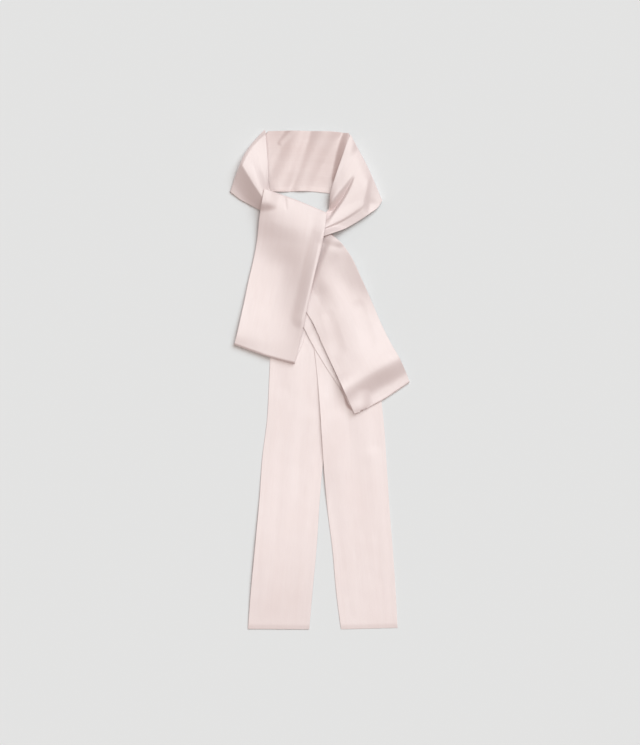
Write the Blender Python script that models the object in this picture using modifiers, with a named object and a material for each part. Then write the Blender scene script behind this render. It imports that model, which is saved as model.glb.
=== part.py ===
"""Long satin scarf, tied once at the neck, lying flat with two bow loops and two tails.

The scarf is one long strip of two plies. Each stretch of it that shows is a solid of its own, a
wall laid over whatever lies below it. Tables and sizes are in millimetres, and meshes in metres.
+Y runs from the ends of the tails to the back of the neck, +Z up from the surface it lies on.
"""
import math
from collections import namedtuple

import bmesh
import bpy
import numpy as np

MM = 0.001

# Driving dimensions
STRIP_WIDTH = 90.0      # the turned strip, edge to edge
WALL = 1.2              # its two plies, pressed together
SEAM_GAP = 0.3          # between one stretch and the next
COLUMN_STEP = 8.2       # between the points across a stretch
COLUMNS = round(STRIP_WIDTH / COLUMN_STEP) + 1
TURN_STEPS = 4          # points round a fold where a stretch turns back under itself
FOLD_EASE = 30.0        # length over which a stretch makes way for its fold
SHARP_FALL = 1.6        # how a sharp crest falls away, 1 for two straight sides
LIP = 4.0               # how far the neck's two turned sides reach back under themselves
LOOP_BULGE = 1.2        # how round a loop's turned end is, 1 for half a circle
LOW_END_BULGE = 1.3     # the same for the left loop's lower end
NECK_BULGE = 0.6        # the same for the neck's two turned sides
EDGE_BOW = 1.5          # how evenly a section bows, 1 for two straight halves, 2 for one curve
MEETING = 3.0           # height over which a stretch leaves what it rests on
STATIONS = {            # rows of points along each stretch
    "neck_back": 17,
    "neck_left": 14,
    "neck_right": 18,
    "tail": 30,
    "loop_front": 22,
    "loop_left_back": 9,
    "loop_right_back": 12,
    "loop_left_tuck": 3,
}

# The map of what lies highest, over which each further stretch is laid
CELL = 1.5
MAP_HALF_X = 165.0
MAP_HALF_Y = 400.0
FLAT_REACH = 7          # cells that a layer keeps its height beyond what it covers
SOFT_REACH = 12         # cells over which it then comes down
SOFTEN = 3              # cells by which the sheet is rounded off
SAG = 0.06              # fall per cell squared on the way down
FILL = 8                # points laid between two points of a stretch

# The knot: hidden turns of the strip, stacked as rounded layers
KNOT_X, KNOT_Y = -26.0, 217.0
KNOT_TILT = -16.0       # degrees
KNOT_HALF_LENGTH = 50.0
KNOT_SLIMNESS = 0.37    # half width over half length
KNOT_LAYERS = 3
KNOT_LAYER_HEIGHT = 2.4
KNOT_LAYER_BULGE = 1.6
KNOT_LAYER_STEP = 4.5   # each layer is this much shorter than the one below
KNOT_SIDES = 40
KNOT_MERGE = 0.0001     # metres within which the points at its middle are one

SATIN = (0.80, 0.69, 0.67, 1.0)
SATIN_SHADED = (0.74, 0.63, 0.61, 1.0)
SATIN_ROUGHNESS = 0.42
SATIN_SHEEN = 0.3

# A section across a stretch: its two edges, how far its middle runs ahead of the line between
# them, and its heights at five places across, wherever those are clear of what lies below.
Section = namedtuple("Section", "left_x left_y right_x right_y bow "
                     "left left_mid middle right_mid right")
HEIGHTS = 5             # how many of a section's numbers are heights, the last ones
RESTING = (-3, -3, -3, -3, -3)

# A fold along a line: its height above the stretch at each end of the line, or with a minus its
# depth, how far the line bends aside, its reach to each side, and how sharp its crest is (0 to 1).
Fold = namedtuple("Fold", "from_x from_y from_height to_x to_y to_height bend left right sharp")

TAIL_LEFT = [
    Section(-44, 190, 2, 184, 0, *RESTING),
    Section(-60, 135, 15, 127, 0, *RESTING),
    Section(-71, 60, 19.5, 54, 0, *RESTING),
    Section(-74, 0, 16, -4, 0, *RESTING),
    Section(-77.5, -62, 10.5, -66, 0, *RESTING),
    Section(-83.5, -108, 5.5, -110, 0, -1, -1, -1, -1, -1),
    Section(-88, -170, 0, -171, 0, 1.6, 1.6, 1.6, 1.6, 1.6),
    Section(-95, -246, -5, -246, 0, 3.4, 3.3, 3.2, 3.1, 3),
    Section(-101, -310, -11, -310, 0, 2.6, 2.6, 2.5, 2.4, 2.3),
    Section(-105, -362.5, -15.5, -363, 0, 0.2, 0.2, 0.2, 0.2, 0.2),
]
TAIL_LEFT_FOLDS = [
    Fold(-36, 30, 1.0, -56, -250, 0.1, 4, 20, 28, 0),
    Fold(-60, -30, 0.5, -86, -340, 0.05, -3, 22, 16, 0),
    Fold(-12, -60, 0.4, -34, -345, 0.05, 3, 14, 20, 0),
]

TAIL_RIGHT = [
    Section(-22, 190, 10, 195, 0, *RESTING),
    Section(-20.5, 148, 36, 162, 0, *RESTING),
    Section(-15, 90, 69, 100, 0, *RESTING),
    Section(-8, 40, 82, 46, 0, *RESTING),
    Section(-1, -30, 90, -34, 0, 3.5, 1.4, -3, -3, -3),
    Section(2, -75, 94, -75, 0, 4.5, 1.4, -3, -3, -3),
    Section(5.5, -128, 97.5, -128, 0, 2.5, 0, -3, -3, -3),
    Section(11, -190, 101.5, -190, 0, *RESTING),
    Section(18, -246, 106, -246, 0, *RESTING),
    Section(24, -312, 110.5, -312, 0, *RESTING),
    Section(30.5, -363, 113, -361, 0, *RESTING),
]
TAIL_RIGHT_FOLDS = [
    Fold(58, -20, 0.9, 78, -270, 0.1, 3, 20, 26, 0),
    Fold(24, -60, 0.5, 52, -340, 0.05, -4, 20, 18, 0),
    Fold(78, -110, 0.5, 99, -355, 0.05, 2, 14, 16, 0),
]

LOOP_RIGHT_FRONT = [
    Section(-30, 203, -10, 221, 0, 5, 5, 5, 5, 5),
    Section(-38, 165, 20, 208, 4, 4, 6, 9, 12.5, 14),
    Section(-36, 130, 44, 181, 2, 2, 4, 8.5, 11, 15),
    Section(-27, 110, 60, 148, 0, 2, 5, 9, 9.5, 13),
    Section(-11, 84, 74, 117, 0, 6, 8, 9.5, 9, 8.5),
    Section(6, 46, 90, 80, 0, 6, 8, 9.5, 9, 7),
    Section(22, 12, 104, 52, 0, 9, 10.5, 11.5, 10.5, 8.5),
    Section(33, -12, 115, 33, 0, 14.5, 13, 12.5, 12, 10.5),
    Section(46, -40.5, 127, 6.5, 1, 8.5, 5.5, 4, 4, 4),
    Section(50, -49.5, 130.5, -3, 3, 8, 5, 3.8, 3.6, 3.6),
]
LOOP_RIGHT_BACK = [
    Section(45, -43, 124, 4, 3, *RESTING),
    Section(32, -18, 108, 26, 0, *RESTING),
    Section(6, 23, 84, 68, 0, *RESTING),
    Section(-19, 66.5, 59.5, 113, 0, *RESTING),
    Section(-36, 105, 38, 145, 0, *RESTING),
    Section(-38, 152, 3, 177, 0, *RESTING),
]
LOOP_RIGHT_FOLDS = [
    Fold(13, 207, 2.2, 28, 203, 2.0, 0, 5, 13, 0),
    Fold(12, 186, 2.0, -2, 150, 2.0, 0, 30, 10, 0),
    Fold(14, 92, -0.4, 26, 46, -0.6, 0, 14, 14, 0),
    Fold(58, 104, -0.8, 72, 60, -0.8, 0, 12, 16, 0),
]

LOOP_LEFT_TUCK = [
    Section(-81, 274, 9.5, 240, -2, 5, 6, 9, 11, 12),
    Section(-80, 262, 7, 230, -2, 5, 6, 9, 11, 12),
]
LOOP_LEFT_FRONT = [
    Section(-81, 277, 9.5, 242.5, -2, 13, 13, 13, 14, 15),
    Section(-85, 255, 8.5, 230, 0, 11, 13.5, 14.5, 15.5, 16),
    Section(-88, 236, 6.5, 214, 0, 2.5, 11, 14.5, 16, 17),
    Section(-91.5, 205, 2, 191, 0, 3, 6.5, 11, 14.5, 17.5),
    Section(-97.5, 173, -6, 160, 0, 3, 3.8, 6.2, 11.5, 17),
    Section(-104, 145, -12, 134, 0, 3.5, 3.8, 5, 9.5, 16),
    Section(-111, 111, -19, 102, 0, 5, 5.2, 5.5, 8.5, 14),
    Section(-117, 84, -25, 74, 0, 6.6, 6.6, 6.8, 8, 12),
    Section(-121, 66, -31, 50, 1, 6.9, 7, 7.1, 7.8, 10),
    Section(-124.8, 51.5, -37, 23.5, 2, 5.9, 6.1, 6.4, 7, 8.5),
]
LOOP_LEFT_BACK = [
    Section(-121, 57, -32, 34, 2, *RESTING),
    Section(-114.5, 87, -22, 62.5, 0, *RESTING),
    Section(-98.5, 145, -13, 127.5, 0, *RESTING),
    Section(-69.5, 188.5, -14.5, 177, 0, *RESTING),
]
LOOP_LEFT_FOLDS = [
    Fold(3, 212, 1.5, -26, 90, 1.5, 0, 5, 18, 0),
]

NECK_BACK = [
    Section(-77, 362.2, -113, 277, 0, 0.5, 0.5, 0.5, 0.5, 0),
    Section(-48, 362.5, -64, 274, 0, 5, 4, 2.5, 1, -3),
    Section(-8, 361.5, -14, 274.5, 0, 7.5, 5.5, 3.5, 1.2, -3),
    Section(22, 360.5, 28, 270, 0, 8.5, 6.5, 4, 1.5, -3),
    Section(42.5, 358.3, 82, 266, 0, 4, 4, 3, 2, 0),
]
NECK_BACK_FOLDS = [
    Fold(-27, 372, 1.8, -60, 282, 2.6, 4, 20, 24, 0),
    Fold(14, 372, 3.6, -27, 280, 2.0, -3, 24, 24, 0),
    Fold(51, 372, 9.0, 27, 294, 5.0, -2, 14, 14, 0.2),
]

NECK_LEFT = [
    Section(-80.5, 364, -130.5, 274, -10, 9, 12.5, 14.5, 9, 1.5),
    Section(-78, 345, -118, 264, -7, 11.5, 13, 14.5, 8.5, 1.2),
    Section(-76, 319, -102, 255, -3, 12, 13, 14, 8.5, 1.2),
    Section(-75, 296, -87, 247, 0, 11, 11.5, 11.5, 8, 1.5),
    Section(-74, 279, -75, 241, 0, 9.5, 9.5, 9, 7.5, 5),
    Section(-62, 264, -62, 234, 0, 8.5, 8.5, 8.5, 8.5, 8.5),
    Section(-44, 250, -46, 226, 0, 9, 9, 9, 9, 9),
]
NECK_LEFT_FOLDS = [
    Fold(-117, 319, 4.0, -85, 267, 4.8, -1, 22, 26, 0.9),
]

NECK_RIGHT = [
    Section(44, 356, 90.5, 261, -3, 9.5, 10.5, 11, 9.5, 6.5),
    Section(39, 344, 85, 252, -2, 11, 12.5, 13, 11.5, 7.5),
    Section(32, 324, 71, 241, 0, 12, 13.5, 13.5, 11.5, 7.5),
    Section(23, 298, 53.5, 229.5, 0, 12, 13, 13, 11, 7),
    Section(15, 271, 32.5, 218, 0, 10, 12, 12.5, 11, 8.5),
    Section(12, 248, 13, 211, 0, 7.5, 10, 12, 12, 12),
    Section(-4, 238, -7, 205, 0, 9, 9.5, 10.5, 11.5, 12),
    Section(-22, 236, -25, 207, 0, 8.5, 9, 9.5, 10, 10.5),
]
NECK_RIGHT_FOLDS = [
    Fold(46, 292, -1.0, 16, 245, -8.0, 0, 10, 13, 0),
    Fold(76, 287, -1.0, 74, 258, -3.6, 0, 24, 12, 0),
]


def smoothly(knots, values, at):
    """Values at the given places, read smoothly through those at the knots."""
    tangents = np.gradient(values, knots, axis=0)
    span = np.clip(np.searchsorted(knots, at, side="right") - 1, 0, len(knots) - 2)
    length = (knots[span + 1] - knots[span])[:, None]
    t = (at - knots[span])[:, None] / length
    return (
        (2 * t**3 - 3 * t**2 + 1) * values[span]
        + (t**3 - 2 * t**2 + t) * length * tangents[span]
        + (3 * t**2 - 2 * t**3) * values[span + 1]
        + (t**3 - t**2) * length * tangents[span + 1]
    )


def spread(sections, count):
    """Read the table smoothly at evenly spaced stations, through every section."""
    rows = np.array(sections, dtype=float)
    middles = (rows[:, 0:2] + rows[:, 2:4]) / 2
    knots = np.concatenate([[0], np.cumsum(np.linalg.norm(np.diff(middles, axis=0), axis=1))])
    return smoothly(knots, rows, np.linspace(0, knots[-1], count))


def along(points):
    """The direction in which a stretch runs at each of its stations, in plan."""
    ahead = np.gradient(points[:, :, :2].mean(axis=1), axis=0)
    return ahead / np.linalg.norm(ahead, axis=1)[:, None]


def plan(sections, count):
    """Points of a stretch as its table gives them: stations x COLUMNS x 3."""
    rows = spread(sections, count)
    across = np.linspace(0, 1, COLUMNS)
    left = rows[:, None, 0:2]
    right = rows[:, None, 2:4]
    points = np.zeros((count, COLUMNS, 3))
    points[:, :, :2] = left * (1 - across[:, None]) + right * across[:, None]
    bow = rows[:, 4:5] * (1 - abs(2 * across - 1) ** EDGE_BOW)
    points[:, :, :2] += bow[:, :, None] * along(points)[:, None, :]
    points[:, :, 2] = smoothly(np.linspace(0, 1, HEIGHTS), rows[:, -HEIGHTS:].T, across).T
    return points


def fold_lift(points, folds):
    """How far the folds raise or lower each point."""
    lift = np.zeros(points.shape[:2])
    for fold in folds:
        start = np.array([fold.from_x, fold.from_y])
        line = np.array([fold.to_x, fold.to_y]) - start
        length = np.linalg.norm(line)
        ahead = line / length
        aside = np.array([-ahead[1], ahead[0]])
        offset = points[:, :, :2] - start
        share = np.clip(offset @ ahead / length, 0, 1)
        beyond = offset @ ahead - share * length
        side = offset @ aside - fold.bend * 4 * share * (1 - share)
        height = fold.from_height * (1 - share) + fold.to_height * share
        taper = np.sqrt(abs(height) / max(abs(fold.from_height), abs(fold.to_height)))
        reach = np.where(side > 0, fold.left, fold.right)
        end_reach = max(fold.left, fold.right)
        away = np.clip(np.hypot(side / reach, beyond / end_reach) / taper, 0, 1)
        round_crest = (1 - away**2) ** 2
        sharp_crest = (1 - away) ** SHARP_FALL
        lift += height * (round_crest * (1 - fold.sharp) + sharp_crest * fold.sharp)
    return lift


def filled(points):
    """The same surface with FILL - 1 further points between each two."""
    for axis in (0, 1):
        cells = points.shape[axis] - 1
        at = np.linspace(0, cells, cells * FILL + 1)
        low = np.minimum(at.astype(int), cells - 1)
        share = (at - low).reshape([-1 if side == axis else 1 for side in range(3)])
        points = points.take(low, axis) * (1 - share) + points.take(low + 1, axis) * share
    return points


class Pile:
    """The top of what has been laid so far, over a map of the surface."""

    def __init__(self):
        self.tops = np.full((self.cell(MAP_HALF_X, MAP_HALF_X), self.cell(MAP_HALF_Y, MAP_HALF_Y)),
                            -SEAM_GAP)

    @staticmethod
    def cell(distance, half):
        return int(round((distance + half) / CELL))

    def lay(self, points):
        """Add a stretch, given by the middle of its wall."""
        dense = filled(points).reshape(-1, 3)
        columns = np.rint((dense[:, 0] + MAP_HALF_X) / CELL).astype(int)
        rows = np.rint((dense[:, 1] + MAP_HALF_Y) / CELL).astype(int)
        np.maximum.at(self.tops, (columns, rows), dense[:, 2] + WALL / 2)

    def cover(self):
        """A soft sheet over the pile, never lower than its tops."""
        sheet = self.tops
        reach = FLAT_REACH + SOFT_REACH
        for axis in (0, 1):
            sheet = np.max(
                [np.roll(sheet, step, axis) - SAG * max(0, abs(step) - FLAT_REACH) ** 2
                 for step in range(-reach, reach + 1)], axis=0)
        sheet = np.maximum(sheet, -SEAM_GAP)
        for axis in (0, 1):
            sheet = np.mean(
                [np.roll(sheet, step, axis) for step in range(-SOFTEN, SOFTEN + 1)], axis=0)
        return sheet

    def rest(self, points, folds=()):
        """Lay a stretch over the pile: its height becomes that of the middle of its wall."""
        sheet = self.cover()
        column = (points[:, :, 0] + MAP_HALF_X) / CELL
        row = (points[:, :, 1] + MAP_HALF_Y) / CELL
        low_column = column.astype(int)
        low_row = row.astype(int)
        share_x = column - low_column
        share_y = row - low_row
        below = (
            sheet[low_column, low_row] * (1 - share_x) * (1 - share_y)
            + sheet[low_column + 1, low_row] * share_x * (1 - share_y)
            + sheet[low_column, low_row + 1] * (1 - share_x) * share_y
            + sheet[low_column + 1, low_row + 1] * share_x * share_y
        )
        resting = below + SEAM_GAP + WALL / 2
        over = points[:, :, 2] - resting
        eased = np.maximum(over, 0) + np.maximum(MEETING - abs(over), 0) ** 2 / (4 * MEETING)
        laid = points.copy()
        laid[:, :, 2] = resting + np.maximum(eased + fold_lift(points, folds), 0)
        self.lay(laid)
        return laid


def half_turn(upper, lower, ahead, bulge):
    """Points round a fold from one row of points to the row below it, bulging ahead."""
    rows = []
    for step in range(1, TURN_STEPS + 1):
        angle = math.pi * step / (TURN_STEPS + 1)
        radius = (upper[:, 2] - lower[:, 2]) / 2
        share = (1 - math.cos(angle)) / 2
        row = upper * (1 - share) + lower * share
        row[:, :2] += (bulge * radius * math.sin(angle))[:, None] * ahead
        rows.append(row)
    return np.array(rows)


def ease(points, end):
    """1 at one end of a stretch, falling softly to 0 within FOLD_EASE of it."""
    steps = np.linalg.norm(np.diff(points[:, :, :2].mean(axis=1), axis=0), axis=1)
    run = np.concatenate([[0], np.cumsum(steps)])
    if end:
        run = run[-1] - run
    return np.clip(1 - run / FOLD_EASE, 0, 1) ** 2


def folded(upper, end, lower, bulge):
    """The turn that joins one end of the upper stretch to the start of the one that runs back below.

    Both are drawn back by the turn's reach, so that the fold itself comes to the outline.
    """
    ahead = along(upper)[end] * (1 if end else -1)
    radius = (upper[end, :, 2] - lower[0, :, 2]) / 2
    upper[:, :, :2] -= (ease(upper, end)[:, None] * radius * bulge)[:, :, None] * ahead
    apart = upper[end, :, :2] - lower[0, :, :2]
    lower[:, :, :2] += ease(lower, 0)[:, None, None] * apart
    return half_turn(upper[end], lower[0], ahead, bulge)


def satin(name, colour):
    """The scarf's satin: smooth, with a soft sheen."""
    material = bpy.data.materials.new(name)
    material.use_nodes = True
    shader = material.node_tree.nodes["Principled BSDF"]
    shader.inputs["Base Color"].default_value = colour
    shader.inputs["Roughness"].default_value = SATIN_ROUGHNESS
    shader.inputs["Sheen Weight"].default_value = SATIN_SHEEN
    return material


def show(name, mesh, colour, collection):
    scarf_piece = bpy.data.objects.new(name, mesh)
    mesh.materials.append(satin(name, colour))
    mesh.shade_smooth()
    collection.objects.link(scarf_piece)
    return scarf_piece


def cloth(name, points, colour, collection):
    """A wall of the strip's thickness round the given rows of points."""
    stations = points.shape[0]
    sheet = bmesh.new()
    bmesh.ops.create_grid(sheet, x_segments=COLUMNS - 1, y_segments=stations - 1, size=1.0)
    for vertex in sheet.verts:
        column = round((vertex.co.x + 1) / 2 * (COLUMNS - 1))
        station = round((vertex.co.y + 1) / 2 * (stations - 1))
        vertex.co = points[station, column] * MM
    mesh = bpy.data.meshes.new(name)
    sheet.to_mesh(mesh)
    sheet.free()
    stretch = show(name, mesh, colour, collection)
    wall = stretch.modifiers.new("wall", "SOLIDIFY")
    wall.thickness = WALL * MM
    wall.offset = 0.0
    return stretch


def knot_profile():
    """Half the knot's section, from its top at the middle down its layered side, (radius, z)."""
    top = KNOT_LAYERS * KNOT_LAYER_HEIGHT
    profile = [(0.0, top)]
    for layer in reversed(range(KNOT_LAYERS)):
        reach = KNOT_HALF_LENGTH - layer * KNOT_LAYER_STEP
        floor = layer * KNOT_LAYER_HEIGHT
        profile.append((reach - KNOT_LAYER_BULGE, floor + KNOT_LAYER_HEIGHT))
        profile.append((reach, floor + KNOT_LAYER_HEIGHT / 2))
    profile.append((KNOT_HALF_LENGTH - KNOT_LAYER_BULGE, 0.0))
    profile.append((0.0, 0.0))
    return profile


def knot(pile, collection):
    """The knot's layered side turned about an upright axis, then made slim and tilted."""
    profile = knot_profile()
    mesh = bpy.data.meshes.new("knot")
    corners = [(radius * MM, 0, z * MM) for radius, z in profile]
    mesh.from_pydata(corners, [(i, i + 1) for i in range(len(corners) - 1)], [])
    core = show("knot", mesh, SATIN_SHADED, collection)
    core.location = (KNOT_X * MM, KNOT_Y * MM, 0)
    core.rotation_euler = (0, 0, math.radians(KNOT_TILT))
    core.scale = (1, KNOT_SLIMNESS, 1)
    turn = core.modifiers.new("turn", "SCREW")
    turn.steps = KNOT_SIDES
    turn.render_steps = KNOT_SIDES
    turn.use_merge_vertices = True
    turn.merge_threshold = KNOT_MERGE

    tilt = math.radians(KNOT_TILT)
    rings = []
    for angle in np.linspace(0, 2 * math.pi, KNOT_SIDES + 1):
        long_way = math.cos(angle)
        short_way = math.sin(angle) * KNOT_SLIMNESS
        rings.append([
            (KNOT_X + radius * (long_way * math.cos(tilt) - short_way * math.sin(tilt)),
             KNOT_Y + radius * (long_way * math.sin(tilt) + short_way * math.cos(tilt)),
             z - WALL / 2) for radius, z in profile[:-1]])
    pile.lay(np.array(rings))


def scarf():
    for item in list(bpy.data.objects):
        bpy.data.objects.remove(item)
    collection = bpy.data.collections.new("long_satin_scarf")
    bpy.context.scene.collection.children.link(collection)

    pile = Pile()
    knot(pile, collection)

    neck_back = pile.rest(plan(NECK_BACK, STATIONS["neck_back"]), NECK_BACK_FOLDS)

    tail_left = pile.rest(plan(TAIL_LEFT, STATIONS["tail"]), TAIL_LEFT_FOLDS)
    cloth("tail_left", tail_left, SATIN, collection)
    tail_right = pile.rest(plan(TAIL_RIGHT, STATIONS["tail"]), TAIL_RIGHT_FOLDS)
    cloth("tail_right", tail_right, SATIN, collection)

    left_back = pile.rest(plan(LOOP_LEFT_BACK, STATIONS["loop_left_back"]))

    right_back = pile.rest(plan(LOOP_RIGHT_BACK, STATIONS["loop_right_back"]))
    right_front = pile.rest(plan(LOOP_RIGHT_FRONT, STATIONS["loop_front"]), LOOP_RIGHT_FOLDS)
    right_turn = folded(right_front, -1, right_back, LOOP_BULGE)
    loop_right = np.concatenate([right_front, right_turn, right_back])
    cloth("loop_right", loop_right, SATIN, collection)

    for name, table, folds, seam in (
            ("neck_left", NECK_LEFT, NECK_LEFT_FOLDS, 0),
            ("neck_right", NECK_RIGHT, NECK_RIGHT_FOLDS, -1)):
        section = pile.rest(plan(table, STATIONS[name]), folds)
        lip = section[:2].copy()
        lip[:, :, 2] = neck_back[seam, :, 2]
        inward = along(section)[0]
        turn = folded(section, 0, lip, NECK_BULGE)
        lip[1, :, :2] = lip[0, :, :2] + LIP * inward
        cloth(name, np.concatenate([lip[::-1], turn[::-1], section]), SATIN, collection)
        neck_back[seam] = lip[1]
        neck_back[seam, :, :2] += 2 * SEAM_GAP * inward
    cloth("neck_back", neck_back, SATIN_SHADED, collection)

    left_tuck = pile.rest(plan(LOOP_LEFT_TUCK, STATIONS["loop_left_tuck"]))
    left_front = pile.rest(plan(LOOP_LEFT_FRONT, STATIONS["loop_front"]), LOOP_LEFT_FOLDS)
    top_turn = folded(left_front, 0, left_tuck, LOOP_BULGE)
    left_turn = folded(left_front, -1, left_back, LOW_END_BULGE)
    loop_left = np.concatenate([left_tuck[::-1], top_turn[::-1], left_front, left_turn, left_back])
    cloth("loop_left", loop_left, SATIN, collection)


scarf()
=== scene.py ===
"""Looks of the long satin scarf: fine satin shells on the forms of its solids, lying flat.

Tables and sizes are in millimetres from the frame's origin: X to the right, Y towards the neck
and heights above the floor. Meshes, and the places of the floor and the camera, are in metres.
"""

import math
from collections import namedtuple

import bpy
import numpy as np
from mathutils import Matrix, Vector


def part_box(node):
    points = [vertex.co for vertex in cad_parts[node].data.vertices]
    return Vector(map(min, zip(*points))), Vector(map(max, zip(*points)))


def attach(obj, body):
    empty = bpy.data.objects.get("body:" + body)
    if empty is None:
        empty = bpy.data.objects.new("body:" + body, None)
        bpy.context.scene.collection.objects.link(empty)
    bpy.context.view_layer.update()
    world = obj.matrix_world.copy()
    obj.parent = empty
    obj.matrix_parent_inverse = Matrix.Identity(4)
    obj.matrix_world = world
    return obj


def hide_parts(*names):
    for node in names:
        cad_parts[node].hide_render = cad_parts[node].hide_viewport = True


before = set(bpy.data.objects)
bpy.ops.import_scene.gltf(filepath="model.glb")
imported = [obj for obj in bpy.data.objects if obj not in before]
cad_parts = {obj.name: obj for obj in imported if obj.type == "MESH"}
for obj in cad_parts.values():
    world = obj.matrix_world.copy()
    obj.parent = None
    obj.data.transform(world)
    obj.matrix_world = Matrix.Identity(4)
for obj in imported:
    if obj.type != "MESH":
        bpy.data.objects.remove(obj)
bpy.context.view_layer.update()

MM = 0.001
PER_METRE = 1 / MM

# The strip
STRIP_WIDTH = 90.0
PLIES = 0.55            # thickness of its two plies where they lie together
SEAM_RISE = 0.2         # how much thicker it is over the seam allowances inside its edges
SEAM_ALLOWANCE = 7.0
SEAM_FALL = 4           # how suddenly the allowances end, 1 for an even slope
EDGE_ROUND = 0.35       # width of the rounding along each edge
END_THINNESS = 0.3      # thickness of a stretch's very end, as a share of the rest
END_TAPER = 6.0         # length over which it thins
END_SHARE = 0.15        # place of a last row close to the end, as a share of a station
LAYER_GAP = 0.2         # air between one layer and the next
LIP = 4.0               # how far the neck's two turned sides reach back under themselves

# How far each turned end bulges, as a share of half its height
LOOP_BULGE = 1.2
LOW_END_BULGE = 1.3
NECK_BULGE = 0.6

# How finely a stretch is divided
COLUMN_STEP = 1.6       # across it
EDGE_COLUMNS = (0, 0.1, 0.25, 0.5, 1.0)   # how far the first ones lie from either edge
STATION_STEP = 1.8      # along it
TURN_STEPS = 14         # rows of points round a fold
FOLD_EASE = 30.0        # length over which a stretch makes way for its fold
EDGE_BOW = 1.5          # how evenly a section bows, 1 for two straight halves, 2 for one curve
SHARP_FALL = 1.6        # how a sharp crest falls away, 1 for two straight sides

# The map of what lies highest, over which each further stretch is laid
CELL = 1.0
MAP_HALF_X = 170.0
MAP_HALF_Y = 410.0
FLAT_REACH = 4          # cells that a layer keeps its height beyond what it covers
SOFT_REACH = 13         # cells over which it then comes down
SAG = 0.055             # fall per cell squared on the way down
SOFTEN = 3              # cells by which the sheet is rounded off
FILL = 3                # points laid between two points of a stretch
MEETING = 3.0           # height over which a stretch leaves what it rests on

# Slight unevenness of the whole cloth: wavelength, direction in degrees and height
Swell = namedtuple("Swell", "length direction height")
SWELLS = [
    Swell(47, 12, 0.05),
    Swell(31, 74, 0.025),
    Swell(23, -38, 0.015),
    Swell(19, 5, 0.012),
]

# The knot's hidden turns, in its CAD solid's place
KNOT_TILT = -16.0       # degrees
KNOT_HALF_LENGTH = 49.0
KNOT_SLIMNESS = 0.37    # half width over half length
KNOT_HEIGHT = 7.2
KNOT_PLIES = 8
KNOT_DRAW_IN = 1.9      # how much shorter each ply is than the one below, per mm of height
KNOT_ROUND = 4          # how flat its top is, 2 for a dome
KNOT_SIDES = 120
KNOT_RINGS = 24
KNOT_PLY_ROUND = 75     # degrees to which each ply's edge rounds up and down
KNOT_PLY_STEPS = 6
KNOT_UNDER_EDGE = 0.98  # first ring of its underside, as a share of the lowest ply's reach

# The satin: what is the same all over it, its two tones, and a darker, pinker copy of them for
# the band behind the neck, which is painted shade for the band lying turned away from the light
SATIN_FINISH = {
    "IOR": 2.35,
    "Specular IOR Level": 1.0,
    "Anisotropic": 0.3,
    "Sheen Weight": 0.15,
    "Sheen Roughness": 0.4,
}
SATIN_PALE = (0.834, 0.700, 0.682, 1)
SATIN_DEEP = (0.800, 0.648, 0.624, 1)
# Painted shade: the band's darker copy of the satin's two tones
PAINTED_SHADE_BAND_PALE = (0.800, 0.645, 0.620, 1)
PAINTED_SHADE_BAND_DEEP = (0.742, 0.560, 0.530, 1)
SATIN_ROUGHNESS = (0.45, 0.53)   # of its brightest threads and of its dullest

# The satin's patterns: the size of their patches across and along the strip, and their detail
Grain = namedtuple("Grain", "across along detail")
CLOUDS = Grain(60, 90, 2)
STREAKS = Grain(2.2, 110, 3)
THREADS = Grain(0.3, 24, 1)
RIPPLES = Grain(9, 60, 2)
NOISE_LOW = 0.3         # the noise that comes out as 0
NOISE_HIGH = 0.7        # and as 1
CLOUD_SHARE = 0.6       # how far the clouds take the tone from pale to deep
STREAK_SHARE = 0.4      # and how far the streaks do
RIPPLE_RELIEF = 0.05
STREAK_RELIEF = 0.01

# The warp floats that make it shine: threads that lie free over several others
FLOAT_LENGTH = 1.5
FLOAT_WIDTH = 0.2
FLOAT_GAP = 0.03
FLOAT_SHIFT = 0.4       # how far every second row is set on, as a share of a float
FLOAT_RELIEF = 0.02
FLOAT_STRENGTH = 0.5

# Where a Mix node keeps its two colours and its mixed one
MIX_FIRST = 6
MIX_SECOND = 7
MIX_RESULT = 2

# The light: the shares of the floor's light from each lamp, with the rest from all round, and
# each lamp's height above the floor, turn from +X towards +Y and softness, in degrees. Only the
# overhead lamp gleams on the satin.
Lamp = namedtuple("Lamp", "name share height turn softness colour gleams")
LAMPS = [
    Lamp("overhead", 0.30, 80, 60, 44, (1.0, 1.0, 0.98), True),
    Lamp("side", 0.47, 41, 54, 40, (0.878, 1.029, 1.086), False),
]
ROUND_COLOUR = (1.25, 0.94, 0.85)   # of the light from all round

# The floor, whose colour the camera also sees beyond it
FLOOR_COLOUR = (0.77, 0.77, 0.765, 1)
FLOOR_ROUGHNESS = 0.9
FLOOR_SIZE = 12.0
FLOOR_DROP = 0.0002     # how far it lies below the scarf

# The camera, straight above
LENS = 100.0
SENSOR = 36.0
VIEW_HEIGHT = 1.0815    # what it takes in at VIEW_LEVEL, from bottom to top
VIEW_LEVEL = 0.01       # about half the scarf's height
VIEW_CENTRE_Y = 0.0109

# A section across a stretch: its two edges, how far its middle runs ahead of the line between
# them, and its heights above the floor at its left edge, a quarter of the way across, its
# middle, three quarters across and its right edge. Where the cloth below is higher, it rests
# on that.
Section = namedtuple("Section", "left_x left_y right_x right_y bow "
                     "left left_mid middle right_mid right")
HEIGHTS = 5             # how many of a section's numbers are heights, the last ones
RESTING = (-3, -3, -3, -3, -3)   # below the floor, so that it rests all over

# A fold along a line that may bow to its left, with its height, or with a minus sign its depth,
# at each end, how far it reaches on its left and right, and how sharp its crest is, 0 to 1.
Fold = namedtuple("Fold", "from_x from_y from_height to_x to_y to_height bend left right sharp")

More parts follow.
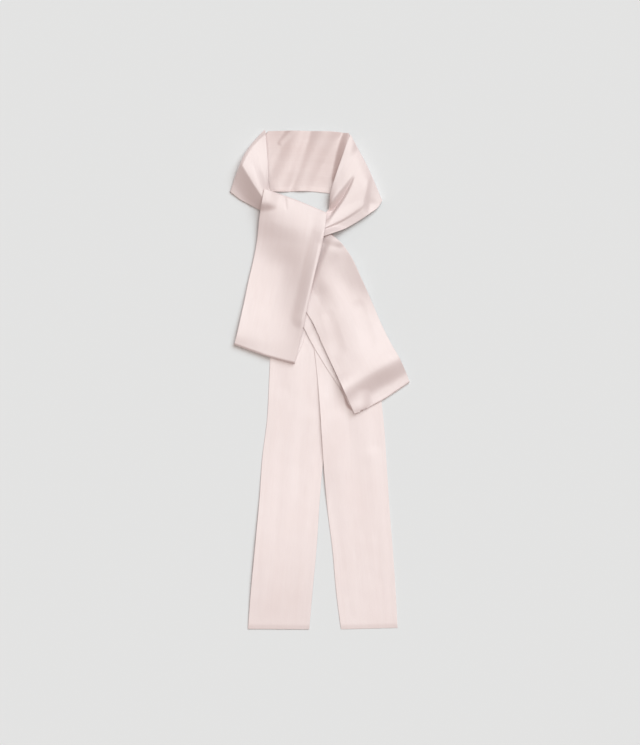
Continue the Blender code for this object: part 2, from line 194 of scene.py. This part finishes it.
TAIL_LEFT = [
    Section(-44, 190, 2, 184, 0, *RESTING),
    Section(-60, 135, 15, 127, 0, *RESTING),
    Section(-71, 60, 19.5, 54, 0, *RESTING),
    Section(-74, 0, 16, -4, 0, *RESTING),
    Section(-77.5, -62, 10.5, -66, 0, *RESTING),
    Section(-83.5, -108, 5.5, -110, 0, -1, -1, -1, -1, -1),
    Section(-88, -170, 0, -171, 0, 1.6, 1.6, 1.6, 1.6, 1.6),
    Section(-95, -246, -5, -246, 0, 3.4, 3.3, 3.2, 3.1, 3),
    Section(-101, -310, -11, -310, 0, 2.6, 2.6, 2.5, 2.4, 2.3),
    Section(-105, -362.5, -15.5, -363, 0, 0.2, 0.2, 0.2, 0.2, 0.2),
]
TAIL_LEFT_FOLDS = [
    Fold(-36, 30, 1.0, -56, -250, 0.1, 4, 20, 28, 0),
    Fold(-60, -30, 0.5, -86, -340, 0.05, -3, 22, 16, 0),
    Fold(-12, -60, 0.4, -34, -345, 0.05, 3, 14, 20, 0),
]

TAIL_RIGHT = [
    Section(-22, 190, 10, 195, 0, *RESTING),
    Section(-20.5, 148, 36, 162, 0, *RESTING),
    Section(-15, 90, 69, 100, 0, *RESTING),
    Section(-8, 40, 82, 46, 0, *RESTING),
    Section(-1, -30, 90, -34, 0, 3.5, 1.4, -3, -3, -3),
    Section(2, -75, 94, -75, 0, 4.5, 1.4, -3, -3, -3),
    Section(5.5, -128, 97.5, -128, 0, 2.5, 0, -3, -3, -3),
    Section(11, -190, 101.5, -190, 0, *RESTING),
    Section(18, -246, 106, -246, 0, *RESTING),
    Section(24, -312, 110.5, -312, 0, *RESTING),
    Section(30.5, -363, 113, -361, 0, *RESTING),
]
TAIL_RIGHT_FOLDS = [
    Fold(38, 0, 1.5, 47, -29, 6.5, 0, 16, 12, 0),
    Fold(58, -20, 0.9, 78, -270, 0.1, 3, 20, 26, 0),
    Fold(24, -60, 0.5, 52, -340, 0.05, -4, 20, 18, 0),
    Fold(78, -110, 0.5, 99, -355, 0.05, 2, 14, 16, 0),
]

LOOP_RIGHT_FRONT = [
    Section(-30, 203, -10, 221, 0, 5, 5, 5, 5, 5),
    Section(-38, 165, 20, 208, 4, 4, 6, 9, 12.5, 14),
    Section(-36, 130, 44, 181, 2, 2, 4, 8.5, 11, 15),
    Section(-27, 110, 60, 148, 0, 2, 5, 9, 9.5, 13),
    Section(-11, 84, 74, 117, 0, 6, 8, 9.5, 9, 8.5),
    Section(6, 46, 90, 80, 0, 6, 8, 9.5, 9, 7),
    Section(22, 12, 104, 52, 0, 9, 10.5, 11.5, 10.5, 8.5),
    Section(33, -12, 115, 33, 0, 14.5, 13, 12.5, 12, 10.5),
    Section(46, -40.5, 127, 6.5, 1, 8.5, 5.5, 4, 4, 4),
    Section(50, -49.5, 130.5, -3, 3, 8, 5, 3.8, 3.6, 3.6),
]
LOOP_RIGHT_BACK = [
    Section(45, -43, 124, 4, 3, *RESTING),
    Section(32, -18, 108, 26, 0, *RESTING),
    Section(6, 23, 84, 68, 0, *RESTING),
    Section(-19, 66.5, 59.5, 113, 0, *RESTING),
    Section(-36, 105, 38, 145, 0, *RESTING),
    Section(-38, 152, 3, 177, 0, *RESTING),
]
LOOP_RIGHT_FOLDS = [
    Fold(13, 207, 2.2, 28, 203, 2.0, 0, 5, 13, 0),
    Fold(12, 186, 2.0, -2, 150, 2.0, 0, 30, 10, 0),
    Fold(14, 92, -0.4, 26, 46, -0.6, 0, 14, 14, 0),
    Fold(58, 104, -0.8, 72, 60, -0.8, 0, 12, 16, 0),
]

LOOP_LEFT_TUCK = [
    Section(-81, 274, 9.5, 240, -2, 5, 6, 9, 11, 12),
    Section(-80, 262, 7, 230, -2, 5, 6, 9, 11, 12),
]
LOOP_LEFT_FRONT = [
    Section(-81, 277, 9.5, 242.5, -2, 13, 13, 13, 14, 15),
    Section(-85, 255, 8.5, 230, 0, 12, 13.5, 14.5, 15.5, 16),
    Section(-88, 236, 6.5, 214, 0, 9, 12.4, 14.5, 16, 17),
    Section(-91.5, 205, 2, 191, 0, 4.5, 7.6, 11, 14.5, 17.5),
    Section(-97.5, 173, -6, 160, 0, 3, 3.8, 6.2, 11.5, 17),
    Section(-104, 145, -12, 134, 0, 3.5, 3.8, 5, 9.5, 16),
    Section(-111, 111, -19, 102, 0, 5, 5.2, 5.5, 8.5, 14),
    Section(-117, 84, -25, 74, 0, 6.6, 6.6, 6.8, 8, 12),
    Section(-121, 66, -31, 50, 1, 6.9, 7, 7.1, 7.8, 10),
    Section(-124.8, 51.5, -37, 23.5, 2, 5.9, 6.1, 6.4, 7, 8.5),
]
LOOP_LEFT_BACK = [
    Section(-121, 57, -32, 34, 2, *RESTING),
    Section(-114.5, 87, -22, 62.5, 0, *RESTING),
    Section(-98.5, 145, -13, 127.5, 0, *RESTING),
    Section(-69.5, 188.5, -14.5, 177, 0, *RESTING),
]
LOOP_LEFT_FOLDS = [
    Fold(3, 212, 1.5, -26, 90, 1.5, 0, 5, 18, 0),
    Fold(-51, 266, -0.9, -49, 250, -0.5, 0, 3.5, 3.5, 0.3),
]

NECK_BACK = [
    Section(-77, 362.2, -113, 277, 0, 0.5, 0.5, 0.5, 0.5, 0),
    Section(-48, 362.5, -64, 274, 0, 5, 4, 2.5, 1, -3),
    Section(-8, 361.5, -14, 274.5, 0, 7.5, 5.5, 3.5, 1.2, -3),
    Section(22, 360.5, 28, 270, 0, 8.5, 6.5, 4, 1.5, -3),
    Section(42.5, 358.3, 82, 266, 0, 4, 4, 3, 2, 0),
]
NECK_BACK_FOLDS = [
    Fold(-27, 372, 1.8, -60, 282, 2.6, 4, 20, 24, 0),
    Fold(-36, 370, 1.6, -57, 345, 0.7, 0, 8, 8, 0.2),
    Fold(14, 372, 3.6, -27, 280, 2.0, -3, 24, 24, 0),
    Fold(51, 372, 9.0, 27, 294, 5.0, -2, 14, 14, 0.2),
]

NECK_LEFT = [
    Section(-80.5, 364, -130.5, 274, -10, 9, 12.5, 14.5, 9, 1.5),
    Section(-78, 345, -118, 264, -7, 11.5, 13, 14.5, 8.5, 1.2),
    Section(-76, 319, -102, 255, -3, 12, 13, 14, 8.5, 1.2),
    Section(-75, 296, -87, 247, 0, 11, 11.5, 11.5, 8, 1.5),
    Section(-74, 279, -75, 241, 0, 9.5, 9.5, 9, 7.5, 5),
    Section(-62, 264, -62, 234, 0, 8.5, 8.5, 8.5, 8.5, 8.5),
    Section(-44, 250, -46, 226, 0, 9, 9, 9, 9, 9),
]
NECK_LEFT_FOLDS = [
    Fold(-117, 319, 4.0, -85, 267, 4.8, -1, 22, 26, 0.9),
    Fold(-80.5, 364, -3.0, -118, 318, -2.0, -5, 6, 4, 0.2),
]

NECK_RIGHT = [
    Section(44, 356, 90.5, 261, -3, 9.5, 10.5, 11, 9.5, 6.5),
    Section(39, 344, 85, 252, -2, 11, 12.5, 13, 11.5, 7.5),
    Section(32, 324, 71, 241, 0, 12, 13.5, 13.5, 11.5, 7.5),
    Section(23, 298, 53.5, 229.5, 0, 12, 13, 13, 11, 7),
    Section(15, 271, 32.5, 218, 0, 10, 12, 12.5, 11, 8.5),
    Section(12, 248, 13, 211, 0, 7.5, 10, 12, 12, 12),
    Section(-4, 238, -7, 205, 0, 9, 9.5, 10.5, 11.5, 12),
    Section(-22, 236, -25, 207, 0, 8.5, 9, 9.5, 10, 10.5),
]
NECK_RIGHT_FOLDS = [
    Fold(48, 293, -1.0, 17, 244.5, -14.0, 2, 5, 13, 0.9),
    Fold(63, 253, 0.5, 6, 221, 2.6, 3, 2.6, 25, 0.2),
    Fold(76, 287, -1.0, 74, 258, -3.6, 0, 24, 12, 0),
]


def smoothly(knots, values, at):
    """Values at the given places, read smoothly through those at the knots."""
    tangents = np.gradient(values, knots, axis=0)
    span = np.clip(np.searchsorted(knots, at, side="right") - 1, 0, len(knots) - 2)
    length = (knots[span + 1] - knots[span])[:, None]
    t = (at - knots[span])[:, None] / length
    return (
        (2 * t**3 - 3 * t**2 + 1) * values[span]
        + (t**3 - 2 * t**2 + t) * length * tangents[span]
        + (3 * t**2 - 2 * t**3) * values[span + 1]
        + (t**3 - t**2) * length * tangents[span + 1]
    )


def spread(sections):
    """Read the table smoothly at evenly spaced stations, through every section."""
    rows = np.array(sections, dtype=float)
    middles = (rows[:, 0:2] + rows[:, 2:4]) / 2
    knots = np.concatenate([[0], np.cumsum(np.linalg.norm(np.diff(middles, axis=0), axis=1))])
    count = max(3, round(knots[-1] / STATION_STEP) + 1)
    return smoothly(knots, rows, np.linspace(0, knots[-1], count))


def across_shares():
    """Places across the strip, 0 to 1, closer together at its rounded edges."""
    inner = EDGE_COLUMNS[-1] * 2
    count = round((STRIP_WIDTH - 2 * inner) / COLUMN_STEP) + 1
    middle = np.linspace(inner, STRIP_WIDTH - inner, count)
    far = [STRIP_WIDTH - place for place in reversed(EDGE_COLUMNS)]
    return np.concatenate([EDGE_COLUMNS, middle, far]) / STRIP_WIDTH


ACROSS = across_shares()


def along(points):
    """The direction in which a stretch runs at each of its stations, in plan."""
    ahead = np.gradient(points[:, :, :2].mean(axis=1), axis=0)
    return ahead / np.linalg.norm(ahead, axis=1)[:, None]


def plan(sections):
    """Points of a stretch as its table gives them: stations x columns x 3."""
    rows = spread(sections)
    across = ACROSS[None, :, None]
    points = np.zeros((len(rows), len(ACROSS), 3))
    points[:, :, :2] = rows[:, None, 0:2] * (1 - across) + rows[:, None, 2:4] * across
    crown = 1 - abs(2 * ACROSS - 1) ** EDGE_BOW
    points[:, :, :2] += (rows[:, 4:5] * crown)[:, :, None] * along(points)[:, None, :]
    points[:, :, 2] = smoothly(np.linspace(0, 1, HEIGHTS), rows[:, -HEIGHTS:].T, ACROSS).T
    return points


def fold_lift(points, folds):
    """How far the folds raise or lower each point."""
    lift = np.zeros(points.shape[:2])
    for fold in folds:
        start = np.array([fold.from_x, fold.from_y])
        line = np.array([fold.to_x, fold.to_y]) - start
        length = np.linalg.norm(line)
        ahead = line / length
        aside = np.array([-ahead[1], ahead[0]])
        offset = points[:, :, :2] - start
        share = np.clip(offset @ ahead / length, 0, 1)
        beyond = offset @ ahead - share * length
        side = offset @ aside - fold.bend * 4 * share * (1 - share)
        height = fold.from_height * (1 - share) + fold.to_height * share
        taper = np.sqrt(abs(height) / max(abs(fold.from_height), abs(fold.to_height)))
        reach = np.where(side > 0, fold.left, fold.right)
        end_reach = max(fold.left, fold.right)
        away = np.clip(np.hypot(side / reach, beyond / end_reach) / taper, 0, 1)
        round_crest = (1 - away**2) ** 2
        sharp_crest = (1 - away) ** SHARP_FALL
        lift += height * (round_crest * (1 - fold.sharp) + sharp_crest * fold.sharp)
    return lift


def filled(points):
    """The same surface with FILL - 1 further points between each two."""
    for axis in (0, 1):
        cells = points.shape[axis] - 1
        at = np.linspace(0, cells, cells * FILL + 1)
        low = np.minimum(at.astype(int), cells - 1)
        share = (at - low).reshape([-1 if side == axis else 1 for side in range(3)])
        points = points.take(low, axis) * (1 - share) + points.take(low + 1, axis) * share
    return points


class Pile:
    """The top of what has been laid so far, over a map of the surface."""

    def __init__(self):
        size = (round(2 * MAP_HALF_X / CELL), round(2 * MAP_HALF_Y / CELL))
        self.tops = np.full(size, -LAYER_GAP)

    def lay(self, points):
        """Add a stretch, given by the middle of its wall."""
        dense = filled(points).reshape(-1, 3)
        columns = np.rint((dense[:, 0] + MAP_HALF_X) / CELL).astype(int)
        rows = np.rint((dense[:, 1] + MAP_HALF_Y) / CELL).astype(int)
        np.maximum.at(self.tops, (columns, rows), dense[:, 2] + (PLIES + SEAM_RISE) / 2)

    def cover(self):
        """A soft sheet over the pile, never lower than its tops."""
        sheet = self.tops
        reach = FLAT_REACH + SOFT_REACH
        for axis in (0, 1):
            sheet = np.max(
                [np.roll(sheet, step, axis) - SAG * max(0, abs(step) - FLAT_REACH) ** 2
                 for step in range(-reach, reach + 1)], axis=0)
        sheet = np.maximum(sheet, -LAYER_GAP)
        for axis in (0, 1):
            sheet = np.mean(
                [np.roll(sheet, step, axis) for step in range(-SOFTEN, SOFTEN + 1)], axis=0)
        return sheet

    def rest(self, points, folds=()):
        """Lay a stretch over the pile: its height becomes that of the middle of its wall."""
        sheet = self.cover()
        column = (points[:, :, 0] + MAP_HALF_X) / CELL
        row = (points[:, :, 1] + MAP_HALF_Y) / CELL
        low_column = column.astype(int)
        low_row = row.astype(int)
        share_x = column - low_column
        share_y = row - low_row
        below = (
            sheet[low_column, low_row] * (1 - share_x) * (1 - share_y)
            + sheet[low_column + 1, low_row] * share_x * (1 - share_y)
            + sheet[low_column, low_row + 1] * (1 - share_x) * share_y
            + sheet[low_column + 1, low_row + 1] * share_x * share_y
        )
        resting = below + LAYER_GAP + (PLIES + SEAM_RISE) / 2
        over = points[:, :, 2] - resting
        eased = np.maximum(over, 0) + np.maximum(MEETING - abs(over), 0) ** 2 / (4 * MEETING)
        laid = points.copy()
        laid[:, :, 2] = resting + np.maximum(eased + fold_lift(points, folds), 0)
        self.lay(laid)
        return laid


def half_turn(upper, lower, ahead, bulge):
    """Points round a fold from one row of points to the row below it, bulging ahead."""
    rows = []
    for step in range(1, TURN_STEPS + 1):
        angle = math.pi * step / (TURN_STEPS + 1)
        radius = (upper[:, 2] - lower[:, 2]) / 2
        share = (1 - math.cos(angle)) / 2
        row = upper * (1 - share) + lower * share
        row[:, :2] += (bulge * radius * math.sin(angle))[:, None] * ahead
        rows.append(row)
    return np.array(rows)


def ease(points, end):
    """1 at one end of a stretch, falling softly to 0 within FOLD_EASE of it."""
    steps = np.linalg.norm(np.diff(points[:, :, :2].mean(axis=1), axis=0), axis=1)
    run = np.concatenate([[0], np.cumsum(steps)])
    if end:
        run = run[-1] - run
    return np.clip(1 - run / FOLD_EASE, 0, 1) ** 2


def folded(upper, end, lower, bulge):
    """The turn that joins one end of the upper stretch to the start of the one below.

    Both are drawn back by the turn's reach, so that the fold itself comes to the outline.
    """
    ahead = along(upper)[end] * (1 if end else -1)
    radius = (upper[end, :, 2] - lower[0, :, 2]) / 2
    upper[:, :, :2] -= (ease(upper, end)[:, None] * radius * bulge)[:, :, None] * ahead
    apart = upper[end, :, :2] - lower[0, :, :2]
    lower[:, :, :2] += ease(lower, 0)[:, None, None] * apart
    return half_turn(upper[end], lower[0], ahead, bulge)


def unevenness(points):
    """The cloth's slight swells, the same for every layer so that none meets another."""
    lift = np.zeros(points.shape[:-1])
    for swell in SWELLS:
        turn = math.radians(swell.direction)
        way = points[..., 0] * math.cos(turn) + points[..., 1] * math.sin(turn)
        lift += swell.height * (1 + np.sin(way * 2 * math.pi / swell.length)) / 2
    return lift


def normals(points):
    """The unit normal at each point of a surface."""
    down = np.gradient(points, axis=0)
    over = np.gradient(points, axis=1)
    normal = np.cross(down, over)
    return normal / np.linalg.norm(normal, axis=2)[:, :, None]


def finished(name, vertices, faces, places, material):
    """A smooth piece with its places on the strip, in metres, for the satin to follow."""
    mesh = bpy.data.meshes.new(name)
    mesh.from_pydata((vertices * MM).tolist(), [], faces.tolist())
    mesh.update()
    layer = mesh.uv_layers.new(name="strip")
    corners = np.empty(len(mesh.loops), dtype=np.int64)
    mesh.loops.foreach_get("vertex_index", corners)
    layer.data.foreach_set("uv", (places * MM)[corners].ravel())
    mesh.materials.append(material)
    mesh.shade_smooth()
    piece = bpy.data.objects.new(name, mesh)
    bpy.context.scene.collection.objects.link(piece)
    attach(piece, "root")
    return piece


def with_close_ends(points):
    """The same stretch with one more row close to each end, so that only the end is rounded."""
    first = points[:1] * (1 - END_SHARE) + points[1:2] * END_SHARE
    last = points[-1:] * (1 - END_SHARE) + points[-2:-1] * END_SHARE
    return np.concatenate([points[:1], first, points[1:-1], last, points[-1:]])


def shell(name, points, start, material):
    """A thin closed tube of two plies round the given rows of points, with rounded edges.

    The stretch begins at the given length along the strip.
    """
    points = with_close_ends(points)
    points[:, :, 2] += unevenness(points)
    stations, columns = points.shape[:2]
    from_edge = np.minimum(ACROSS, 1 - ACROSS) * STRIP_WIDTH
    round_share = np.clip(from_edge / EDGE_ROUND, 0, 1)
    rounding = np.sqrt(1 - (1 - round_share) ** 2)
    rise = SEAM_RISE * np.clip(1 - (from_edge / SEAM_ALLOWANCE) ** SEAM_FALL, 0, 1)
    run = np.linalg.norm(np.diff(points.mean(axis=1), axis=0), axis=1)
    along_run = np.concatenate([[0], np.cumsum(run)])
    from_end = np.minimum(along_run, along_run[-1] - along_run)
    thinness = END_THINNESS + (1 - END_THINNESS) * np.clip(from_end / END_TAPER, 0, 1)
    half = (PLIES + rise) / 2 * rounding * thinness[:, None]
    points[:, :, 2] -= (PLIES + SEAM_RISE) / 2 * (1 - thinness)[:, None]
    offset = normals(points) * half[:, :, None]
    vertices = np.concatenate([(points + offset).reshape(-1, 3), (points - offset).reshape(-1, 3)])

    over = np.arange(stations * columns).reshape(stations, columns)
    under = over + stations * columns
    quads = [
        np.stack([over[:-1, :-1], over[1:, :-1], over[1:, 1:], over[:-1, 1:]], -1),
        np.stack([under[:-1, :-1], under[:-1, 1:], under[1:, 1:], under[1:, :-1]], -1),
    ]
    rims = [
        np.stack([over[:-1, 0], under[:-1, 0], under[1:, 0], over[1:, 0]], -1),
        np.stack([over[:-1, -1], over[1:, -1], under[1:, -1], under[:-1, -1]], -1),
        np.stack([over[0, :-1], over[0, 1:], under[0, 1:], under[0, :-1]], -1),
        np.stack([over[-1, :-1], under[-1, :-1], under[-1, 1:], over[-1, 1:]], -1),
    ]
    faces = np.concatenate([part.reshape(-1, 4) for part in quads + rims])
    places = np.stack(np.meshgrid(ACROSS * STRIP_WIDTH, start + along_run), -1).reshape(-1, 2)
    return finished(name, vertices, faces, np.concatenate([places, places]), material)


def knot_rings():
    """Rings of points of the knot's hidden turns: over its top, down its plies and in below."""
    low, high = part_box("knot")
    centre = (Vector(low) + Vector(high)) / 2 / MM
    tilt = math.radians(KNOT_TILT)
    ply = KNOT_HEIGHT / KNOT_PLIES
    profile = []
    for share in np.linspace(0, 1, KNOT_RINGS, endpoint=False):
        crown = (1 - share**KNOT_ROUND) * ply / 2
        reach = KNOT_HALF_LENGTH - KNOT_DRAW_IN * KNOT_HEIGHT
        profile.append((share * reach, KNOT_HEIGHT - ply / 2 + crown))
    for layer in reversed(range(KNOT_PLIES)):
        reach = KNOT_HALF_LENGTH - KNOT_DRAW_IN * layer * ply - ply / 2
        for angle in np.linspace(KNOT_PLY_ROUND, -KNOT_PLY_ROUND, KNOT_PLY_STEPS):
            turn = math.radians(angle)
            profile.append((reach + math.cos(turn) * ply / 2,
                            (layer + 0.5) * ply + math.sin(turn) * ply / 2))
    profile += [(share * profile[-1][0], 0.0)
                for share in np.linspace(KNOT_UNDER_EDGE, 0, KNOT_RINGS)]
    rings = []
    for radius, height in profile:
        ring = []
        for side in range(KNOT_SIDES):
            angle = 2 * math.pi * side / KNOT_SIDES
            x = radius * math.cos(angle)
            y = radius * math.sin(angle) * KNOT_SLIMNESS
            ring.append((centre.x + x * math.cos(tilt) - y * math.sin(tilt),
                         centre.y + x * math.sin(tilt) + y * math.cos(tilt), height))
        rings.append(ring)
    return np.array(rings)


def knot(rings, material):
    """The knot's hidden turns as one layered piece."""
    count = len(rings)
    index = np.arange(count * KNOT_SIDES).reshape(count, KNOT_SIDES)
    after = np.roll(index, -1, axis=1)
    faces = np.stack([index[:-1], index[1:], after[1:], after[:-1]], -1).reshape(-1, 4)
    places = rings[:, :, :2].reshape(-1, 2)
    piece = finished("satin_knot", rings.reshape(-1, 3), faces, places, material)
    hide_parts("knot")


def node(tree, kind, settings=(), **inputs):
    """A new shader node, its inputs given as values or as other nodes' outputs."""
    made = tree.nodes.new("ShaderNode" + kind)
    for name, value in settings:
        setattr(made, name, value)
    for name, value in inputs.items():
        socket = made.inputs[name.replace("_", " ")]
        if isinstance(value, bpy.types.NodeSocket):
            tree.links.new(value, socket)
        else:
            socket.default_value = value
    return made


def patches(tree, places, grain):
    """Noise from 0 to 1 in patches of the grain's size."""
    scaled = node(tree, "Mapping", Vector=places,
                  Scale=(PER_METRE / grain.across, PER_METRE / grain.along, 1))
    noise = node(tree, "TexNoise", Vector=scaled.outputs["Vector"], Scale=1.0,
                 Detail=grain.detail)
    spread_out = node(tree, "MapRange", From_Min=NOISE_LOW, From_Max=NOISE_HIGH,
                      Value=noise.outputs["Fac"])
    return spread_out.outputs["Result"]


def satin(name, pale, deep):
    """Blush satin: warp floats along the strip, faint streaks, soft clouding and ripples."""
    material = bpy.data.materials.new(name)
    material.use_nodes = True
    tree = material.node_tree
    shader = tree.nodes["Principled BSDF"]
    for socket, value in SATIN_FINISH.items():
        shader.inputs[socket].default_value = value
    strip = node(tree, "UVMap", [("uv_map", "strip")]).outputs["UV"]
    streaks = patches(tree, strip, STREAKS)
    lengthwise = node(tree, "Mapping", Vector=strip, Rotation=(0, 0, math.pi / 2),
                      Scale=(PER_METRE, PER_METRE, 1))
    floats = node(
        tree, "TexBrick", [("offset", FLOAT_SHIFT), ("offset_frequency", 2)],
        Vector=lengthwise.outputs["Vector"], Scale=1.0, Brick_Width=FLOAT_LENGTH,
        Row_Height=FLOAT_WIDTH, Mortar_Size=FLOAT_GAP, Mortar_Smooth=1.0)

    streaked = node(tree, "Math", [("operation", "MULTIPLY")])
    tree.links.new(streaks, streaked.inputs[0])
    streaked.inputs[1].default_value = STREAK_SHARE
    clouded = node(tree, "Math", [("operation", "MULTIPLY_ADD")])
    tree.links.new(patches(tree, strip, CLOUDS), clouded.inputs[0])
    clouded.inputs[1].default_value = CLOUD_SHARE
    tree.links.new(streaked.outputs["Value"], clouded.inputs[2])
    tone = node(tree, "Mix", [("data_type", "RGBA")], Factor=clouded.outputs["Value"])
    tone.inputs[MIX_FIRST].default_value = pale
    tone.inputs[MIX_SECOND].default_value = deep
    tree.links.new(tone.outputs[MIX_RESULT], shader.inputs["Base Color"])

    gloss = node(tree, "MapRange", Value=patches(tree, strip, THREADS),
                 To_Min=SATIN_ROUGHNESS[0], To_Max=SATIN_ROUGHNESS[1])
    tree.links.new(gloss.outputs["Result"], shader.inputs["Roughness"])

    relief = node(tree, "Bump", Strength=1.0, Distance=RIPPLE_RELIEF * MM,
                  Height=patches(tree, strip, RIPPLES))
    relief = node(tree, "Bump", Strength=1.0, Distance=STREAK_RELIEF * MM, Height=streaks,
                  Normal=relief.outputs["Normal"])
    relief = node(tree, "Bump", [("invert", True)], Strength=FLOAT_STRENGTH,
                  Distance=FLOAT_RELIEF * MM, Height=floats.outputs["Fac"],
                  Normal=relief.outputs["Normal"])
    tree.links.new(relief.outputs["Normal"], shader.inputs["Normal"])
    warp = node(tree, "Tangent", [("direction_type", "UV_MAP"), ("uv_map", "strip")])
    tree.links.new(warp.outputs["Tangent"], shader.inputs["Tangent"])
    return material


def floor():
    """The pale floor that the scarf lies on, which keeps its shadow."""
    material = bpy.data.materials.new("pale_floor")
    material.use_nodes = True
    shader = material.node_tree.nodes["Principled BSDF"]
    shader.inputs["Base Color"].default_value = FLOOR_COLOUR
    shader.inputs["Roughness"].default_value = FLOOR_ROUGHNESS
    shader.inputs["Specular IOR Level"].default_value = 0.0
    bpy.ops.mesh.primitive_plane_add(size=FLOOR_SIZE, location=(0, 0, -FLOOR_DROP))
    plane = bpy.context.object
    plane.name = "floor"
    plane.data.materials.append(material)


def lights():
    """A soft lamp overhead, one lower at the upper right, and even light from all round.

    Where the camera sees past the floor, it sees the floor's colour and not that light.
    """
    for lamp in LAMPS:
        light = bpy.data.lights.new(lamp.name, "SUN")
        turn = math.radians(lamp.turn)
        height = math.radians(lamp.height)
        light.angle = math.radians(lamp.softness)
        light.energy = lamp.share * math.pi / math.sin(height)
        light.color = lamp.colour
        holder = bpy.data.objects.new(lamp.name, light)
        towards = Vector((math.cos(turn) * math.cos(height), math.sin(turn) * math.cos(height),
                          math.sin(height)))
        holder.visible_glossy = lamp.gleams
        holder.rotation_euler = towards.to_track_quat("Z", "Y").to_euler()
        bpy.context.scene.collection.objects.link(holder)
    world = bpy.data.worlds.new("studio")
    bpy.context.scene.world = world
    world.use_nodes = True
    tree = world.node_tree
    light = tree.nodes["Background"]
    light.inputs["Color"].default_value = (*ROUND_COLOUR, 1)
    light.inputs["Strength"].default_value = 1 - sum(lamp.share for lamp in LAMPS)
    backdrop = node(tree, "Background", Color=FLOOR_COLOUR)
    seen = node(tree, "MixShader", Fac=node(tree, "LightPath").outputs["Is Camera Ray"])
    tree.links.new(light.outputs["Background"], seen.inputs[1])
    tree.links.new(backdrop.outputs["Background"], seen.inputs[2])
    tree.links.new(seen.outputs["Shader"], tree.nodes["World Output"].inputs["Surface"])


def camera():
    """The camera, looking straight down."""
    data = bpy.data.cameras.new("camera")
    data.lens = LENS
    data.sensor_fit = "VERTICAL"
    data.sensor_width = SENSOR
    data.sensor_height = SENSOR
    holder = bpy.data.objects.new("camera", data)
    holder.location = (0, VIEW_CENTRE_Y, VIEW_LEVEL + VIEW_HEIGHT * LENS / SENSOR)
    bpy.context.scene.collection.objects.link(holder)
    bpy.context.scene.camera = holder


def laid_stretches(rings):
    """The points of every stretch, laid one over another from the floor and the knot up."""
    pile = Pile()
    pile.lay(rings)
    neck_back = pile.rest(plan(NECK_BACK), NECK_BACK_FOLDS)
    stretches = {}
    stretches["tail_left"] = pile.rest(plan(TAIL_LEFT), TAIL_LEFT_FOLDS)
    stretches["tail_right"] = pile.rest(plan(TAIL_RIGHT), TAIL_RIGHT_FOLDS)
    left_back = pile.rest(plan(LOOP_LEFT_BACK))
    right_back = pile.rest(plan(LOOP_RIGHT_BACK))
    right_front = pile.rest(plan(LOOP_RIGHT_FRONT), LOOP_RIGHT_FOLDS)
    right_turn = folded(right_front, -1, right_back, LOOP_BULGE)
    stretches["loop_right"] = np.concatenate([right_front, right_turn, right_back])

    for name, table, folds, seam in (
            ("neck_left", NECK_LEFT, NECK_LEFT_FOLDS, 0),
            ("neck_right", NECK_RIGHT, NECK_RIGHT_FOLDS, -1)):
        section = pile.rest(plan(table), folds)
        lip = section[:2].copy()
        lip[:, :, 2] = neck_back[seam, :, 2]
        inward = along(section)[0]
        turn = folded(section, 0, lip, NECK_BULGE)
        lip[1, :, :2] = lip[0, :, :2] + LIP * inward
        neck_back[seam] = lip[1]
        neck_back[seam, :, :2] += LAYER_GAP * inward
        stretches[name] = np.concatenate([lip[::-1], turn[::-1], section])
    stretches["neck_back"] = neck_back

    left_tuck = pile.rest(plan(LOOP_LEFT_TUCK))
    left_front = pile.rest(plan(LOOP_LEFT_FRONT), LOOP_LEFT_FOLDS)
    top_turn = folded(left_front, 0, left_tuck, LOOP_BULGE)
    left_turn = folded(left_front, -1, left_back, LOW_END_BULGE)
    stretches["loop_left"] = np.concatenate(
        [left_tuck[::-1], top_turn[::-1], left_front, left_turn, left_back])
    return stretches


# How each stretch is held and what it lies on, in their order along the strip
Lie = namedtuple("Lie", "stretch held rests_on")
LIES = [
    Lie("tail_left", "laid", ["satin_knot"]),
    Lie("loop_left", "folded", ["satin_neck_left", "satin_loop_right", "satin_tail_left"]),
    Lie("neck_left", "folded", ["satin_neck_back"]),
    Lie("neck_back", "laid", []),
    Lie("neck_right", "folded", ["satin_neck_back", "satin_loop_right"]),
    Lie("loop_right", "folded", ["satin_tail_right", "satin_tail_left"]),
    Lie("tail_right", "laid", ["satin_knot", "satin_tail_left"]),
]


def scarf():
    """The whole scarf: the knot's turns, then every stretch in its order along the strip."""
    material = satin("blush_satin", SATIN_PALE, SATIN_DEEP)
    # the band behind the neck gets the darker copy of the satin, which is painted shade
    painted_shade_band_material = satin("blush_satin_band_painted_shade", PAINTED_SHADE_BAND_PALE, PAINTED_SHADE_BAND_DEEP)
    rings = knot_rings()
    knot(rings, material)
    stretches = laid_stretches(rings)
    start = 0.0
    for lie in LIES:
        points = stretches[lie.stretch]
        piece = shell("satin_" + lie.stretch, points, start,
                      painted_shade_band_material if lie.stretch == "neck_back" else material)
        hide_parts(lie.stretch)
        down = np.linalg.norm(np.diff(points, axis=0), axis=2).mean(axis=1).sum()
        start += down


scarf()
floor()
lights()
camera()
bpy.context.scene.view_settings.view_transform = "Standard"
